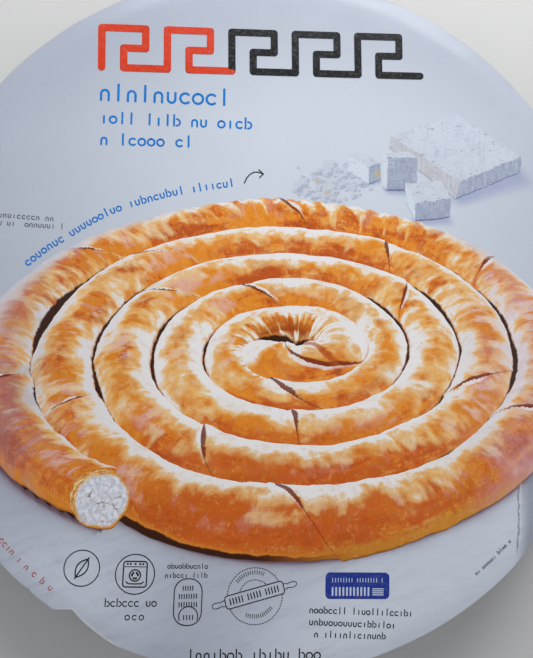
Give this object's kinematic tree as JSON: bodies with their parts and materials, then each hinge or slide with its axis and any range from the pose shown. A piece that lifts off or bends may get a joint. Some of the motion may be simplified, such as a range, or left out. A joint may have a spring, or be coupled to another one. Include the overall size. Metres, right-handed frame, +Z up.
{
  "type": "round pie pack",
  "caption": "Shut round pie pack: a printed card cover lying on the rim of a pleated foil tray.",
  "frame": {"origin": "bottom centre of the pack, on the surface that the tray stands on, under the middle of the round card", "axes": "+Z up out of the printed face, +Y towards the upper side of the print, +X to the right of the print"},
  "size_m": [0.3, 0.3, 0.031],
  "materials": {
    "printed_card": "gloss-coated white board, printed",
    "foil": "thin pressed foil, slightly crinkled"
  },
  "bodies": {
    "root": {"card_cover": "printed_card", "foil_tray": "foil"}
  },
  "joints": []
}
